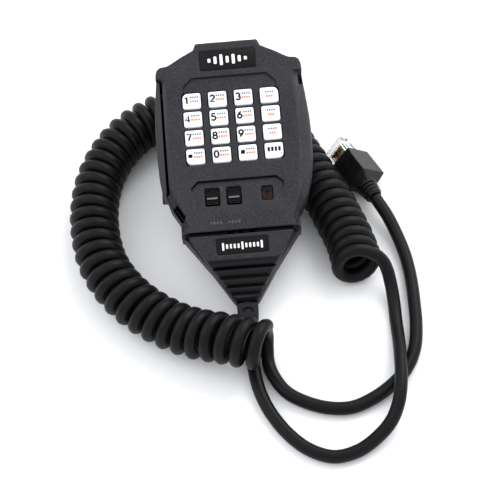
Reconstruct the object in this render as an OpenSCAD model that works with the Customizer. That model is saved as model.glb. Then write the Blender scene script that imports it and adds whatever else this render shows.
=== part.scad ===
// Hand microphone with a sixteen-key pad, lying on its back on a table.
// A push-to-talk bar runs along the left side, and a curly cord ends in a modular plug.
// Millimetres, +Z up, +Y towards the head of the microphone, +X to its right.
// The origin is on the table, under the middle of the microphone.

/* [Housing] */
// Width across the widest part of the sides
body_w = 66.4; // [62:0.2:70]
// Thickness of the front cover, from the parting plane to the face
front_t = 15; // [14:0.5:16]
// Thickness of the rear cover at the head
rear_t = 12; // [11:0.5:12.5]
// Wall thickness of both covers
wall = 2; // [1.6:0.1:2.4]
// Angle by which the head is raised off the table
pitch = 18; // [17:0.5:19]

/* [Keypad] */
// Width of a key
key_w = 7.7; // [7.4:0.1:8]
// Height of a key
key_h = 6.8; // [6.4:0.1:7]
// Distance between key columns
key_dx = 11; // [10.8:0.1:11.2]
// Distance between key rows
key_dy = 8.35; // [8.2:0.05:8.5]
// Travel of a key
key_travel = 0.8; // [0.4:0.1:0.8]
// How far a key stands above the floor of the keypad recess
key_proud = 1.2; // [0.9:0.1:1.4]

/* [Switch panel] */
// Width of a slide switch knob
slider_w = 5.8; // [5:0.1:6]
// Height of a slide switch knob
slider_h = 4.6; // [4:0.1:5]
// Travel of a slide switch knob
slider_travel = 2; // [1:0.5:2.5]

/* [Push-to-talk bar] */
// Length of the bar
ptt_l = 50; // [44:1:51]
// Angle that the bar turns through when it is pressed
ptt_angle = 1; // [0.6:0.1:1.2]

/* [Top buttons] */
// Width of the up and the down button
top_w = 8.6; // [7:0.1:9]
// Travel of the up and the down button
top_travel = 0.8; // [0.4:0.1:0.8]

/* [Hang-up stud] */
// Diameter of the stud's head
stud_head_d = 14; // [12:0.5:16]
// Diameter of the stud's neck
stud_neck_d = 8; // [7:0.5:9]

/* [Cord] */
// Diameter of the cord
cord_d = 5.4; // [5:0.1:5.6]
// Outer diameter of the curly stretch
coil_d = 21.4; // [20.8:0.2:21.6]

/* [Plug] */
// Width of the modular plug
plug_w = 11.68; // [11.5:0.01:11.8]
// Length of the modular plug
plug_l = 21.5; // [21:0.1:22]
// Thickness of the modular plug without its latch
plug_t = 6.6; // [6.4:0.1:6.8]

/* [Hidden] */

eps = 0.01;
gap = 0.3;
$fn = 48;

half_w = body_w / 2;

// Half outline of the housing at the parting plane above the tail, from the chin to the crown.
side_outline = [
    [25, -21], [28.8, -14.5], [31.7, -5], [32.8, 2], [half_w, 12], [half_w - 0.2, 22],
    [32.2, 32], [31.4, 40], [31, 44.5], [29.6, 46.6], [25.7, 47.4], [20.5, 50.6], [14.2, 53.7]
];
// The same side of the flat face.
face_outline = [
    [23, -21], [25.5, -12], [27.2, -1.5], [28, 14], [27.5, 30], [26.4, 39.5], [14.2, 47.5]
];
// Half outline of the V-shaped tail, and of the narrower V that carries the chin and the ribs.
tail_outline = [[25, -20.9], [24.8, -27.5], [13.9, -42.5], [5, -56.4]];
chin_outline = [[22.6, -20.9], [21.9, -29.4], [15.5, -39.8], [4.4, -56.2]];
// Half outlines of the room inside the covers, wide near the parting plane and narrow beyond it.
wide_room = [
    [6, -47], [11, -43], [22, -27.5], [22.6, -20], [25, -11], [26.4, 0], [26.4, 41],
    [23, 44.6], [12.5, 50.5], [11.5, 54]
];
face_room = [
    [13, -36], [20, -27.5], [20.8, -18], [24, -4], [26, 14], [25.2, 36], [13.5, 44.5], [12, 46]
];
back_room = [[8, -25], [9.6, -20], [11, 0], [14.4, 33], [9, 44], [8, 46]];

crown_y = 56.6;
crown_x = 13.2;
tail_y = -56.4;
relief_end_y = -64;
button_tip_y = 60.7;
top_button_z = 5;
relief_w = 9;
relief_t = 8;
groove_y = -28.8;
edge_z = 8.5;

// The microphone's own frame has its parting plane at z = 0 and its face towards +Z.
// Its lowest point is the lower edge of the strain relief, and its middle is over the origin.
mic_z = relief_t / 2 * cos(pitch) - relief_end_y * sin(pitch);
mic_y = (-(button_tip_y + relief_end_y) * cos(pitch)
    + (relief_t / 2 + top_button_z - 1.7) * sin(pitch)) / 2;

key_rows = [30.1, 30.1 - key_dy, 30.1 - 2 * key_dy, 30.1 - 3 * key_dy];
key_columns = [-1.5 * key_dx, -0.5 * key_dx, 0.5 * key_dx, 1.5 * key_dx];
recess_z = front_t - 0.8;
face_inner_z = front_t - wall;
key_top_z = recess_z + key_proud;
key_flange_z = face_inner_z - 1.1;
mat_z = 8.4;
board_z = 6.6;
panel_y = -13.2;
panel_z = front_t - 0.7;
left_slider_x = -10.9;
middle_slider_x = -1.8;
window_x = 12.1;

ptt_top_y = 41;
ptt_bottom_y = ptt_top_y - ptt_l;
ptt_inner_x = 29.8;
ptt_pin_y = ptt_bottom_y + 3;
ptt_pin_x = 31.1;
ptt_pin_d = 1.4;
ptt_room = gap + (ptt_top_y - ptt_pin_y) * sin(ptt_angle);
ptt_nose_y = 18;

capsule_y = -33;
stud_y = 22;
case_screw_at = [[22, 38.6], [-22, 38.6], [18.6, -19.5], [-18.6, -19.5]];
board_screw_at = [[23.2, 7], [-23.2, 7], [5.6, -21]];

// Where the plug lies: the rear of its hood, its heading, and how far it leans on its side.
hood_at = [55.9, 3.4, 7.65];
hood_turn = 26;
hood_roll = 45;
collar_l = 7;
hood_l = 17;
plug_out = 8;
// Cross-section of the hood. It rests on the corner that is cut off.
hood_section = [[6.8, -9.5], [6.8, 6.5], [-2.9, 6.5], [-6.4, 3], [-6.4, -4.39], [-1.29, -9.5]];

// The cord's routes over the table, from the strain relief round to the plug.
relief_exit = [0, mic_y + relief_end_y * cos(pitch), mic_z + relief_end_y * sin(pitch)];
mic_lead_route = [
    relief_exit, [0, -61, 2.8], [0, -69, 2.7], [0.5, -80, 2.7], [2, -90, 2.7], [5.5, -100, 2.7],
    [11.5, -110, 2.7], [19.5, -118, 2.7], [29, -122, 2.7], [38.5, -120.5, 2.9],
    [46.5, -116, 4], [53, -110, 5.8], [57, -102, 8], [59, -92, 8.8], [60, -82, 7.2],
    [60.6, -73, 4.4], [60.8, -64, 2.8], [61, -57, 3], [60.9, -51, 4.3], [60.4, -46, 6.6],
    [59.4, -41.8, 9.8], [57.3, -39.2, 13.6], [53.5, -38.4, 16.6]
];
coil_route = [
    [47.4, -40.4, 11.1], [45.6, -27.5, 10.7], [42, -15, 10.7], [38, -3, 10.7], [33, 9, 10.7],
    [27.6, 21.5, 10.7], [22, 34, 10.7], [13.5, 45, 10.7], [2, 52.5, 10.7], [-11, 55, 10.7],
    [-24, 52.5, 10.7], [-37, 47, 10.7], [-48, 38.5, 10.7], [-56, 27, 10.7], [-61, 14, 10.7],
    [-63, 0, 10.7], [-62.5, -14, 10.7], [-59.5, -28, 10.7], [-53.5, -40, 10.7],
    [-45, -50.5, 10.7], [-34, -59.5, 10.7], [-23, -66, 11.8], [-12, -71, 14.6],
    [-3, -74.8, 16.2], [5.1, -77.4, 16.8]
];
plug_lead_route = [
    [4.9, -70.3, 18], [6.8, -69.2, 15.1], [7, -69.4, 9.8], [6.6, -72.7, 5.2], [6.6, -77.9, 2.9],
    [8.4, -84.5, 2.7], [12.6, -91.6, 2.7], [19.2, -96.6, 2.7], [28.4, -100.4, 2.7],
    [38, -101.2, 2.7], [47, -98, 2.7], [55.5, -92.5, 2.7], [62.3, -85.5, 2.7], [66.8, -76.5, 2.7],
    [68.8, -66, 2.7], [69.5, -55, 2.7], [69.7, -44, 2.7], [69, -33, 2.8], [67, -23, 3.6],
    [63.6, -12.5, 5.6],
    [hood_at[0] + collar_l * sin(hood_turn), hood_at[1] - collar_l * cos(hood_turn), hood_at[2]]
];

black = [0.09, 0.09, 0.1];
grey_black = [0.16, 0.16, 0.17];
rubber_black = [0.05, 0.05, 0.055];
key_white = [0.93, 0.93, 0.91];
board_green = [0.06, 0.3, 0.14];
steel = [0.7, 0.7, 0.72];
brass = [0.8, 0.62, 0.3];
clear_plastic = [0.85, 0.9, 0.92, 0.5];

// Turns a half outline into a closed one.
function both_sides(half) =
    concat(half, [for (i = [len(half) - 1 : -1 : 0]) [-half[i][0], half[i][1]]]);

// Unit vector.
function unit(v) = v / norm(v);

// Direction of a route at one of its points.
function heading(route, i) =
    unit(route[min(i + 1, len(route) - 1)] - route[max(i - 1, 0)]);

// One ring of a tube, level with the table.
function ring(route, i, r, sides, along) =
    let (side = unit(cross(along, [0, 0, 1])), up = cross(side, along))
    [for (k = [0 : sides - 1])
        route[i] - r * cos(360 * k / sides) * up + r * sin(360 * k / sides) * side];

// Moves from the microphone's own frame to its place on the table.
module laid() {
    translate([0, mic_y, mic_z])
        rotate([pitch, 0, 0])
            children();
}

// Moves from the plug's own frame, +Y towards its nose, to its place on the table.
module plug_laid() {
    translate(hood_at)
        rotate([0, -hood_roll, hood_turn])
            children();
}

// Tube that follows a route, closed at both ends.
module tube(route, r, sides, first, last) {
    rings = len(route);
    points = [
        for (i = [0 : rings - 1])
            each ring(route, i, r, sides,
                i == 0 ? first : i == rings - 1 ? last : heading(route, i))
    ];
    skin = [
        for (i = [0 : rings - 2], k = [0 : sides - 1])
            each [
                [i * sides + k, i * sides + (k + 1) % sides, (i + 1) * sides + k],
                [i * sides + (k + 1) % sides, (i + 1) * sides + (k + 1) % sides,
                    (i + 1) * sides + k]
            ]
    ];
    caps = [
        [for (k = [sides - 1 : -1 : 0]) k],
        [for (k = [0 : sides - 1]) (rings - 1) * sides + k]
    ];
    polyhedron(points, concat(skin, caps), convexity = 8);
}

// Rectangle with round corners, centred.
module rounded(w, h, r) {
    square([w - 2 * r, h], center = true);
    square([w, h - 2 * r], center = true);
    for (x = [-1, 1], y = [-1, 1])
        translate([x * (w / 2 - r), y * (h / 2 - r)])
            circle(r);
}

// Everything in front of a plane that leans back from (y, z) by an angle.
module in_front_of(y, z, lean) {
    translate([0, y, z])
        rotate([lean, 0, 0])
            translate([-60, -80, 0])
                cube([120, 160, 40]);
}

// Straight-sided prism of a half outline, from z0 up to z1.
module slab(half, z0, z1) {
    translate([0, 0, z0])
        linear_extrude(z1 - z0)
            polygon(both_sides(half));
}

// Solid shape of the front cover, before it is hollowed.
module front_solid() {
    hull() {
        slab(side_outline, 0, edge_z);
        slab(face_outline, front_t - eps, front_t);
    }
    hull() {
        slab([[25, -28.6], [25, -20.5]], 0, edge_z);
        slab([[22.4, -28.6], [23, -20.5]], front_t - eps, front_t);
    }
    hull() {
        slab([[14.2, 44], [14.2, 53.7], [crown_x, crown_y]], 0, front_t - 1);
        slab([[13.8, 44], [13.4, 53], [crown_x - 0.6, crown_y - 0.6]], front_t - eps, front_t);
    }
    difference() {
        slab(tail_outline, 0, 10);
        in_front_of(tail_y, 4, 10);
    }
    difference() {
        slab(chin_outline, 0, front_t);
        in_front_of(groove_y, front_t - 0.7, 9);
        in_front_of(-40, front_t - 2.6, 24);
    }
}

// Grooves between the ribs of the tail, each across the face of the V.
module rib_grooves() {
    for (y = [-38.8, -43.4, -47.3, -50.9, -54.1])
        translate([0, y, front_t - 2.6 - (-40 - y) * tan(24) - 1.6])
            rotate([24, 0, 0])
                translate([-20, -0.6, 0])
                    cube([40, 1.2, 6]);
}

// Slots through the floor of the groove, in front of the microphone capsule.
module sound_slots() {
    for (x = [-4.5, 0, 4.5])
        translate([x - 1.2, groove_y - 0.5, 8])
            cube([2.4, 1, 8]);
}

// Pocket in the left side for the push-to-talk bar.
module ptt_pocket() {
    translate([-half_w - 4, ptt_bottom_y - gap, -4])
        cube([half_w + 4 - ptt_inner_x + ptt_room, ptt_l + 2 * gap, 24]);
    translate([-ptt_inner_x, 15, -1.6])
        cube([6, 10, 5.2]);
}

// Round passage through the tail, half in each cover, for the strain relief and the cord.
module cord_bore() {
    translate([0, relief_end_y, 0])
        rotate([-90, 0, 0]) {
            cylinder(d = relief_t + 0.4, h = 14);
            cylinder(d = cord_d + 0.2, h = 22.4);
        }
}

// Cut-outs of the face: plate, keypad, switch panel, groove and ribs.
module face_cuts() {
    translate([0, 48, front_t - 0.8])
        linear_extrude(2)
            rounded(24, 9, 0.8);
    slab([[19.4, 0.6], [19.8, 36.4], [16, 40.4]], recess_z, front_t + 1);
    for (x = key_columns, y = key_rows)
        translate([x, y, face_inner_z - 1])
            linear_extrude(5)
                rounded(key_w + 2 * gap, key_h + 2 * gap, 1.4);
    slab([[18.6, -20.4], [19.2, -8.8], [16.4, -6.2]], panel_z, front_t + 1);
    for (x = [left_slider_x, middle_slider_x])
        translate([x, panel_y, face_inner_z - 1])
            linear_extrude(5)
                square([slider_w + 2 * gap, slider_h + slider_travel + 2 * gap], center = true);
    translate([window_x, panel_y, face_inner_z - 1])
        linear_extrude(5)
            square([4.6, 5.8], center = true);
    translate([-30, groove_y - 0.8, front_t - 1.6])
        cube([60, 1.6, 4]);
    translate([0, -34.3, 11.4])
        rotate([9, 0, 0])
            translate([0, 0, 1.2])
                linear_extrude(4)
                    rounded(21.6, 6.6, 0.6);
    rib_grooves();
}

// Slots in the crown for the up and down buttons.
module crown_slots() {
    for (x = [-6, 6])
        translate([x - top_w / 2 - gap, 53, top_button_z - 2.5 - gap])
            cube([top_w + 2 * gap, 10, 5 + 2 * gap]);
}

// Strap bar: a slot in the lower left corner with a bar left across it.
module strap_slot() {
    translate([-26.6, -18, 4])
        rotate([0, 0, -28])
            difference() {
                cube([3.6, 9, 20], center = true);
                cube([1.2, 20, 12], center = true);
            }
}

// Slot for a lanyard through the right ear.
module lanyard_slot() {
    for (y = [36.2, 39.6])
        translate([30.2, y, -20])
            cylinder(d = 1.6, h = 40);
    translate([29.4, 36.2, -20])
        cube([1.6, 3.4, 40]);
}

module front_cover() {
    color(grey_black)
        laid()
            difference() {
                front_solid();
                difference() {
                    union() {
                        slab(wide_room, -eps, 8);
                        slab(face_room, 7.9, face_inner_z);
                    }
                    for (p = case_screw_at)
                        translate([p[0], p[1], -1])
                            cylinder(d = 6.4, h = 20);
                    for (p = board_screw_at)
                        translate([p[0], p[1], board_z])
                            cylinder(d = 3.6, h = 20);
                }
                for (p = case_screw_at)
                    translate([p[0], p[1], -1])
                        cylinder(d = 2.4, h = 11);
                for (p = board_screw_at)
                    translate([p[0], p[1], board_z - 1])
                        cylinder(d = 1.6, h = 5.5);
                cord_bore();
                face_cuts();
                crown_slots();
                ptt_pocket();
                sound_slots();
                strap_slot();
                lanyard_slot();
            }
}

// Solid shape of the rear cover, before it is hollowed.
module rear_solid() {
    hull() {
        slab(side_outline, -1.6, 0);
        slab([[12, -20], [13.5, 0], [17, 34], [11, 47], [10, 49]], -rear_t, -rear_t + eps);
    }
    hull() {
        slab([[24.8, -27.5], [25, -20.5]], -1.6, 0);
        slab([[10.5, -27], [12, -20.5]], -rear_t, -rear_t + eps);
    }
    hull() {
        slab([[13.9, -42.5], [24.8, -27.4]], -1.6, 0);
        slab([[10.2, -27.4], [10.5, -27]], -rear_t, -rear_t + eps);
        slab([[8, -42], [8.3, -41.6]], -8.5, -8.4);
    }
    hull() {
        slab([[5, -56.4], [13.9, -42.4]], -1.6, 0);
        slab([[8, -42], [8.3, -41.6]], -8.5, -8.4);
        slab([[3.6, -56], [3.8, -55.7]], -4.6, -4.5);
    }
    slab([[14.2, 44], [14.2, 53.7], [crown_x, crown_y]], -1.6, 0);
}

// The rear cover without its ledge.
module rear_shell() {
    difference() {
        rear_solid();
        difference() {
            union() {
                slab(wide_room, -1.2, eps);
                slab(back_room, -rear_t + wall, -1.1);
            }
            for (p = case_screw_at)
                translate([p[0], p[1], -20])
                    cylinder(d = 6.4, h = 20);
            translate([0, stud_y, -20])
                cylinder(d = 12, h = 14);
        }
        for (p = case_screw_at) {
            translate([p[0], p[1], -20])
                cylinder(d = 3, h = 21);
            translate([p[0], p[1], -20])
                cylinder(d = 5.6, h = 16);
        }
        translate([0, stud_y, -20])
            cylinder(d = 3.2, h = 21);
        cord_bore();
        translate([-4.9, -46.5, -3.7])
            cube([9.8, 4.4, 4]);
        ptt_pocket();
        lanyard_slot();
    }
}

// Ledge of the rear cover under the push-to-talk bar, wider where it holds the bar's pin.
module bar_ledge() {
    difference() {
        union() {
            translate([-32.8, ptt_pin_y - 2.4, -5.6])
                cube([8.8, 4.8, 1.6]);
            translate([-30.4, ptt_bottom_y, -5.2])
                cube([4.6, ptt_l, 1.2]);
        }
        translate([-ptt_pin_x, ptt_pin_y, -10])
            cylinder(d = ptt_pin_d, h = 20);
    }
}

module rear_cover() {
    color(black)
        laid() {
            rear_shell();
            bar_ledge();
        }
}

module name_plate() {
    color(black)
        laid()
            translate([0, 48, front_t - 0.8])
                linear_extrude(0.5)
                    rounded(23.6, 8.6, 0.7);
}

module chin_plate() {
    color(black)
        laid()
            translate([0, -34.3, 11.4])
                rotate([9, 0, 0])
                    translate([0, 0, 1.2])
                        linear_extrude(0.5)
                            rounded(21.2, 6.2, 0.5);
}

// Key with a flange that holds it behind the face. A corner key has one outer corner cut back.
module key(column, row, corner) {
    laid()
        translate([key_columns[column], key_rows[row], 0]) {
            difference() {
                translate([0, 0, key_flange_z])
                    linear_extrude(key_top_z - key_flange_z)
                        rounded(key_w, key_h, 1.2);
                if (corner != [0, 0])
                    translate([corner[0] * key_w / 2, corner[1] * key_h / 2, recess_z + 0.1])
                        rotate([0, 0, 45])
                            translate([-1, -1, 0])
                                cube([2, 2, 4]);
            }
            translate([0, 0, key_flange_z])
                linear_extrude(0.8)
                    rounded(key_w + 1.4, key_h + 1, 1.2);
        }
}

module white_key(column, row, corner = [0, 0]) {
    color(key_white)
        key(column, row, corner);
}

// Rubber sheet with a dome under each key.
module keypad_mat() {
    color([0.2, 0.2, 0.21])
        laid() {
            translate([0, 17.6, mat_z])
                linear_extrude(1)
                    rounded(40, 34, 2);
            for (x = key_columns, y = key_rows)
                translate([x, y, mat_z + 1 - eps])
                    cylinder(d1 = 5.6, d2 = 4, h = key_flange_z - key_travel - mat_z - 1.2);
        }
}

module circuit_board() {
    color(board_green)
        laid()
            translate([0, 0, board_z - 1.6])
                difference() {
                    linear_extrude(1.6)
                        polygon(both_sides([
                            [12, -26.4], [15, -25], [15, -14], [22.4, -8], [25.2, 0], [25.2, 34],
                            [18, 34.4], [18, 40], [12, 43.4]
                        ]));
                    for (p = board_screw_at)
                        translate([p[0], p[1], -1])
                            cylinder(d = 2, h = 4);
                }
}

// Chips, crystal and cable header on the back of the board.
module board_parts() {
    color([0.12, 0.12, 0.13])
        laid()
            for (part = [
                [-8, 8, 10, 7, 1.6], [10, 12, 6, 6, 1.4], [12, -4, 9, 3.4, 3], [-12, 26, 5, 4, 1.2],
                [4, 27, 7, 5, 1.5], [0, -12, 10, 4, 4]
            ])
                translate([part[0], part[1], board_z - 1.6 - part[4] / 2])
                    cube([part[2], part[3], part[4]], center = true);
}

module board_screws() {
    color(steel)
        laid()
            for (p = board_screw_at)
                translate([p[0], p[1], 0]) {
                    translate([0, 0, board_z - 1.6 - 1.4])
                        difference() {
                            cylinder(d = 3.2, h = 1.4);
                            translate([0, 0, 0.3])
                                cube([2.6, 0.5, 0.8], center = true);
                        }
                    translate([0, 0, board_z - 1.6])
                        cylinder(d = 1.5, h = 5);
                }
}

// Knob of a slide switch, with a raised bar across its middle and a skirt that closes its slot.
module slider(x) {
    laid()
        translate([x, panel_y - slider_travel / 2, 0]) {
            translate([0, 0, face_inner_z - 1.8])
                linear_extrude(0.6)
                    square([slider_w + 0.6, slider_h + 2 * slider_travel + 0.8], center = true);
            translate([0, 0, face_inner_z - 1.8])
                linear_extrude(panel_z - 0.2 - face_inner_z + 1.8)
                    square([slider_w, slider_h], center = true);
            translate([0, 0, panel_z])
                cube([slider_w - 0.6, 1, 1.2], center = true);
        }
}

module left_slider() {
    color(black)
        slider(left_slider_x);
}

module middle_slider() {
    color(black)
        slider(middle_slider_x);
}

// Metal cases of the two slide switches, on the board.
module slide_switch_cases() {
    color(steel)
        laid()
            for (x = [left_slider_x, middle_slider_x])
                translate([x, panel_y, board_z])
                    linear_extrude(face_inner_z - 2.1 - board_z)
                        square([6.6, 10], center = true);
}

module indicator_window() {
    color([0.25, 0.1, 0.07])
        laid()
            translate([window_x, panel_y, face_inner_z - 1]) {
                linear_extrude(panel_z - 0.3 - face_inner_z + 1)
                    square([4.4, 5.6], center = true);
                translate([0, 0, -2.2])
                    linear_extrude(2.3)
                        square([5.6, 6.8], center = true);
            }
}

// Bar that turns on a pin near its lower end; its nose presses the switch behind it.
module ptt_bar() {
    color(black)
        laid()
            difference() {
                union() {
                    translate([0, 0, -3.6])
                        linear_extrude(15.8)
                            polygon([
                                [-ptt_inner_x, ptt_bottom_y], [-31.8, ptt_bottom_y],
                                [-32.5, ptt_bottom_y + 6], [-33, 8], [-33.1, 20], [-32.4, 32],
                                [-31.4, ptt_top_y], [-ptt_inner_x, ptt_top_y]
                            ]);
                    translate([-ptt_inner_x - 0.1, ptt_nose_y, -1])
                        cube([1.5, 4, 4]);
                }
                translate([-ptt_inner_x, 0, 12])
                    rotate([0, -42, 0])
                        translate([-20, -20, 0])
                            cube([22, 80, 10]);
                translate([-ptt_pin_x, ptt_pin_y, -10])
                    cylinder(d = ptt_pin_d + 0.1, h = 18.2);
                for (y = [2 : 4 : 34])
                    translate([-34.2, y, -10])
                        cube([1.5, 0.8, 30]);
            }
}

module ptt_pin() {
    color(steel)
        laid()
            translate([-ptt_pin_x, ptt_pin_y, -5.6])
                cylinder(d = ptt_pin_d, h = 13.6);
}

// Push switch behind the bar, standing on the edge of the board.
module ptt_switch() {
    color([0.2, 0.2, 0.22])
        laid() {
            translate([-26, 15, -1])
                cube([4.2, 10, 5.8]);
            translate([-27.4, ptt_nose_y + 0.5, -0.4])
                cube([1.5, 3, 3]);
        }
}

// Domed button in the crown, with a flange inside that keeps it in.
module top_button(x) {
    laid()
        translate([x, 0, top_button_z]) {
            translate([0, 51.6, 0])
                rotate([-90, 0, 0])
                    linear_extrude(button_tip_y - 52.5)
                        rounded(top_w, 5, 2);
            translate([0, 51.6, 0])
                rotate([-90, 0, 0])
                    linear_extrude(1)
                        rounded(top_w + 1.2, 5.8, 2);
            translate([0, button_tip_y - 1, 0])
                rotate([-90, 0, 0])
                    linear_extrude(1)
                        rounded(top_w - 1.6, 3.4, 1.6);
        }
}

module up_button() {
    color(key_white)
        top_button(6);
}

module down_button() {
    color(key_white)
        top_button(-6);
}

module top_switches() {
    color([0.2, 0.2, 0.22])
        laid()
            for (x = [-6, 6])
                translate([x, 0, top_button_z]) {
                    translate([-3, 45.6, -3])
                        cube([6, 3.4, 6]);
                    translate([0, 48.9, 0])
                        rotate([-90, 0, 0])
                            cylinder(d = 3, h = 1.6);
                }
}

module microphone_capsule() {
    color(steel)
        laid()
            translate([0, capsule_y, 1.6])
                cylinder(d = 9.7, h = 5);
}

// Rubber cup round the capsule, open towards the sound slots.
module capsule_boot() {
    color(rubber_black)
        laid()
            translate([0, capsule_y, 0.4])
                difference() {
                    cylinder(d = 12.4, h = 7.2);
                    translate([0, 0, 1.2])
                        cylinder(d = 9.7, h = 8);
                }
}

// Button on the back that drops into a hanger on the dashboard.
module hang_up_stud() {
    color(steel)
        laid()
            translate([0, stud_y, -rear_t])
                rotate([180, 0, 0])
                    difference() {
                        union() {
                            cylinder(d = 12, h = 1);
                            cylinder(d = stud_neck_d, h = 5.5);
                            translate([0, 0, 5.5])
                                cylinder(d = stud_head_d, h = 2.5);
                        }
                        translate([0, 0, -1])
                            cylinder(d = 3.2, h = 12);
                        translate([0, 0, 5])
                            cylinder(d = 6, h = 6);
                    }
}

module stud_screw() {
    color(steel)
        laid()
            translate([0, stud_y, -rear_t - 5])
                difference() {
                    union() {
                        cylinder(d = 2.9, h = 11);
                        translate([0, 0, -2])
                            cylinder(d = 5.6, h = 2);
                    }
                    translate([-2, -0.4, -3])
                        cube([4, 0.8, 1.6]);
                    translate([-0.4, -2, -3])
                        cube([0.8, 4, 1.6]);
                }
}

module case_screws() {
    color(steel)
        laid()
            for (p = case_screw_at)
                translate([p[0], p[1], -4]) {
                    difference() {
                        translate([0, 0, -2])
                            cylinder(d = 5, h = 2);
                        translate([-1.8, -0.35, -3])
                            cube([3.6, 0.7, 1.8]);
                        translate([-0.35, -1.8, -3])
                            cube([0.7, 3.6, 1.8]);
                    }
                    cylinder(d = 2.3, h = 11.5);
                }
}

// Flexible sleeve at the tail: a round neck inside the housing and a flat-sided block outside.
module strain_relief() {
    color(rubber_black)
        laid()
            difference() {
                union() {
                    translate([0, -57, 0])
                        rotate([-90, 0, 0])
                            cylinder(d = relief_t, h = 6.6);
                    translate([0, relief_end_y, 0])
                        rotate([-90, 0, 0])
                            linear_extrude(-56.7 - relief_end_y)
                                rounded(relief_w, relief_t, 1.6);
                }
                translate([0, relief_end_y - 1, 0])
                    rotate([-90, 0, 0])
                        cylinder(d = cord_d, h = 20);
                translate([-1.9, -60.4, 2.9])
                    cube([3.8, 1.6, 4]);
            }
}

// Saddle that grips the cord inside the housing.
module cable_clamp() {
    color(steel)
        laid()
            difference() {
                translate([-4.6, -46.2, -3.4])
                    cube([9.2, 3.8, 6.8]);
                translate([0, -50, 0])
                    rotate([-90, 0, 0])
                        cylinder(d = cord_d, h = 10);
            }
}

// The cord's end inside the housing, and its wires on their way to the board.
module inner_wires() {
    color(rubber_black)
        laid() {
            translate([0, relief_end_y, 0])
                rotate([-90, 0, 0])
                    cylinder(d = cord_d, h = 22);
            for (x = [-1.8 : 1.2 : 1.8])
                translate([x, -42.1, -0.4])
                    rotate([-90, 0, 0])
                        cylinder(d = 1, h = 31);
        }
}

module mic_lead() {
    color(rubber_black)
        tube(mic_lead_route, cord_d / 2, 10,
            [0, -cos(pitch), -sin(pitch)], unit([-3.6, 1.9, 2.2]));
}

module curly_coil() {
    color(rubber_black)
        tube(coil_route, coil_d / 2, 12,
            unit(coil_route[1] - coil_route[0]), unit([8.1, -2.6, 0.6]));
}

module plug_lead() {
    color(rubber_black)
        tube(plug_lead_route, cord_d / 2, 10,
            unit([1.9, 1.1, -2.9]), [-sin(hood_turn), cos(hood_turn), 0]);
}

// A length of the hood's cross-section, from y on.
module hood_slice(y, length, size) {
    translate([0, y + length, 0])
        rotate([90, 0, 0])
            linear_extrude(length)
                scale(size)
                    polygon(hood_section);
}

// Moulded hood of the plug, with a ribbed collar round the cord.
module plug_hood() {
    color(rubber_black)
        plug_laid()
            difference() {
                union() {
                    rotate([90, 0, 0])
                        for (i = [0 : 3])
                            translate([0, 0, i * 1.7])
                                cylinder(d = 9.4 - 0.5 * i, h = 1.1);
                    rotate([90, 0, 0])
                        cylinder(d = 7, h = collar_l);
                    hull() {
                        hood_slice(0, 0.1, 0.6);
                        hood_slice(3, hood_l - 3, 1);
                    }
                }
                translate([0, -collar_l - 1, 0])
                    rotate([-90, 0, 0])
                        cylinder(d = cord_d, h = 12);
                translate([0, 3.3 + hood_l / 2, 0])
                    cube([plug_w + 0.1, hood_l, plug_t + 0.1], center = true);
                translate([0, 6 + hood_l / 2, -4.5])
                    cube([7.2, hood_l, 5], center = true);
            }
}

// Clear body of the modular plug, hollow where the wires run.
module plug_body() {
    color(clear_plastic)
        plug_laid()
            translate([0, hood_l + plug_out - plug_l, 0])
                difference() {
                    translate([-plug_w / 2, 0, -plug_t / 2])
                        cube([plug_w, plug_l, plug_t]);
                    translate([-plug_w / 2 + 1.2, -1, -1.2])
                        cube([plug_w - 2.4, plug_l - 1.4, 2.4]);
                    for (i = [0 : 7])
                        translate([(i - 3.5) * 1.02 - 0.3, plug_l - 6.6, 0.8])
                            cube([0.6, 5.2, 6]);
                }
}

// Springy tab under the plug, joined to it near its nose.
module plug_latch() {
    color(clear_plastic)
        plug_laid()
            translate([-3, hood_l + plug_out - 1.5, -plug_t / 2 - 0.9])
                rotate([90, 0, 90])
                    linear_extrude(6) {
                        circle(0.6);
                        polygon([[0, 0.6], [-13, -0.8], [-13, -2], [-2, -0.7], [0, -0.6]]);
                    }
}

module plug_contacts() {
    color(brass)
        plug_laid()
            for (i = [0 : 7])
                translate([(i - 3.5) * 1.02 - 0.2, hood_l + plug_out - 6.4, 0.9])
                    cube([0.4, 4.8, 2.1]);
}

// Eight wires that fan out of the cord's end and run side by side into the plug.
module plug_wires() {
    plug_laid() {
        color(rubber_black)
            translate([0, -collar_l + 0.2, 0])
                rotate([-90, 0, 0])
                    cylinder(d = cord_d - 0.2, h = collar_l + 3.1);
        for (i = [0 : 7])
            color([0.3 + 0.09 * i, 0.8 - 0.08 * i, 0.2 + 0.3 * (i % 2)])
                translate([(i - 3.5) * 1.02, 3.3, 0])
                    rotate([-90, 0, 0])
                        cylinder(d = 0.9, h = hood_l + plug_out - 5.7);
    }
}

front_cover();
rear_cover();
name_plate();
chin_plate();
keypad_mat();
circuit_board();
board_parts();
board_screws();
white_key(0, 0, [-1, 1]);  // key_1
white_key(1, 0);  // key_2
white_key(2, 0);  // key_3
white_key(3, 0, [1, 1]);  // key_a
white_key(0, 1);  // key_4
white_key(1, 1);  // key_5
white_key(2, 1);  // key_6
white_key(3, 1);  // key_b
white_key(0, 2);  // key_7
white_key(1, 2);  // key_8
white_key(2, 2);  // key_9
white_key(3, 2);  // key_c
white_key(0, 3, [-1, -1]);  // key_star
white_key(1, 3);  // key_0
white_key(2, 3);  // key_hash
white_key(3, 3, [1, -1]);  // key_d
left_slider();
middle_slider();
slide_switch_cases();
indicator_window();
ptt_bar();
ptt_pin();
ptt_switch();
up_button();
down_button();
top_switches();
microphone_capsule();
capsule_boot();
hang_up_stud();
stud_screw();
case_screws();
strain_relief();
cable_clamp();
inner_wires();
mic_lead();
curly_coil();
plug_lead();
plug_hood();
plug_body();
plug_latch();
plug_contacts();
plug_wires();
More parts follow.
